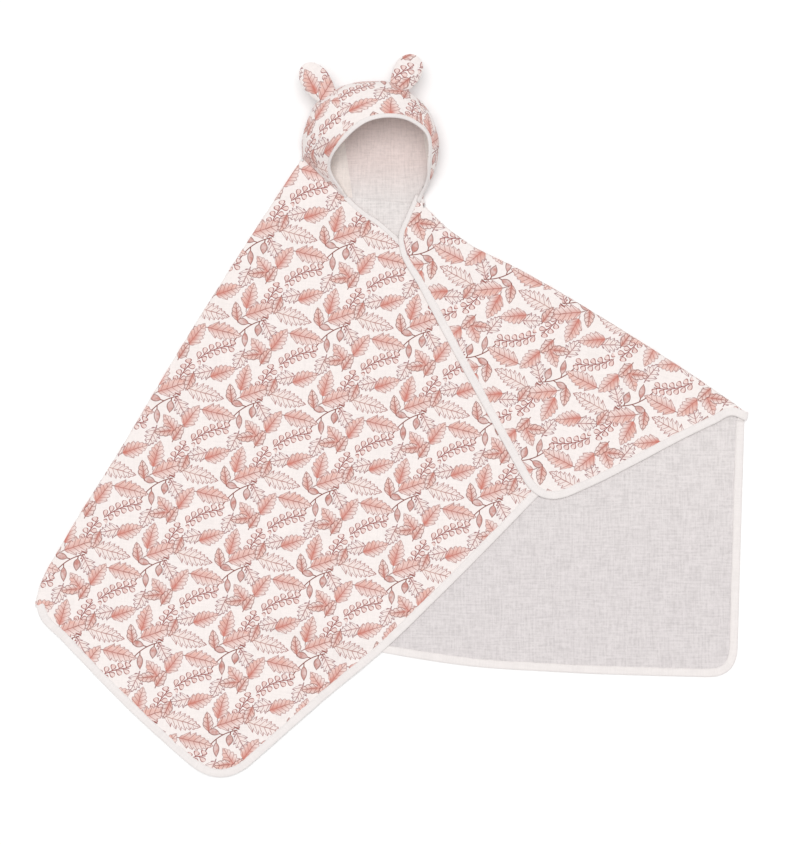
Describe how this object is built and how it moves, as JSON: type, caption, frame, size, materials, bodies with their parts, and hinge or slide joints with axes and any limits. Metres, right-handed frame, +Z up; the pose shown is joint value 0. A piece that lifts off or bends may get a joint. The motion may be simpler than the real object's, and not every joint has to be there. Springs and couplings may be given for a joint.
{
  "type": "hooded baby towel",
  "caption": "Rectangular two-layer muslin towel with a bound hem, folded fronts and a rounded three-panel hood with two small ears.",
  "frame": {"origin": "on the surface the towel lies on, under the middle of its overall width and length", "axes": "+Z up from the surface, +Y towards the crown of the hood, +X towards the side of the right front's fold"},
  "size_m": [1.0308, 1.0582, 0.0934],
  "materials": {
    "printed_muslin": "matt crinkled cotton muslin with a coral leaf print",
    "white_muslin": "matt crinkled white cotton muslin",
    "white_binding": "smooth white cotton bias tape",
    "ear_wadding": "loose white polyester wadding"
  },
  "bodies": {
    "back": {"back_outer_panel": "printed_muslin", "back_lining_panel": "white_muslin", "back_hem_binding": "white_binding", "left_fold_outer_panel": "printed_muslin", "left_fold_lining_panel": "white_muslin"},
    "left_front": {"left_front_lining_panel": "white_muslin", "left_front_outer_panel": "printed_muslin", "left_front_binding": "white_binding"},
    "right_front": {"right_front_lining_panel": "white_muslin", "right_front_outer_panel": "printed_muslin", "right_front_binding": "white_binding"},
    "hood": {"hood_outer_left_panel": "printed_muslin", "hood_outer_centre_gusset": "printed_muslin", "hood_outer_right_panel": "printed_muslin", "hood_lining_left_panel": "white_muslin", "hood_lining_centre_gusset": "white_muslin", "hood_lining_right_panel": "white_muslin", "hood_face_binding": "white_binding"},
    "left_ear": {"left_ear_front": "printed_muslin", "left_ear_back": "printed_muslin", "left_ear_wadding": "ear_wadding"},
    "right_ear": {"right_ear_front": "printed_muslin", "right_ear_back": "printed_muslin", "right_ear_wadding": "ear_wadding"}
  },
  "joints": [
    {"name": "left_front_fold", "type": "hinge", "parent": "back", "child": "left_front", "pos_m": [-0.06445, 0.31354, 0.0087], "axis": [-0.5978, -0.8016, 0], "range_deg": [0, 175]},
    {"name": "right_front_fold", "type": "hinge", "parent": "back", "child": "right_front", "pos_m": [0.05055, 0.30454, 0.0065], "axis": [-0.8419, 0.5396, 0], "range_deg": [0, 180]},
    {"name": "hood_lift", "type": "hinge", "parent": "back", "child": "hood", "pos_m": [-0.00695, 0.30904, 0.008], "axis": [0.997, -0.078, 0], "range_deg": [0, 60]},
    {"name": "left_ear_flop", "type": "hinge", "parent": "hood", "child": "left_ear", "pos_m": [-0.09389, 0.46646, 0.048], "axis": [0.7986, 0.6018, 0], "range_deg": [-40, 40], "stiffness_Nm_per_rad": 0.05},
    {"name": "right_ear_flop", "type": "hinge", "parent": "hood", "child": "right_ear", "pos_m": [0.01575, 0.48262, 0.048], "axis": [0.866, -0.5, 0], "range_deg": [-40, 40], "stiffness_Nm_per_rad": 0.05}
  ]
}
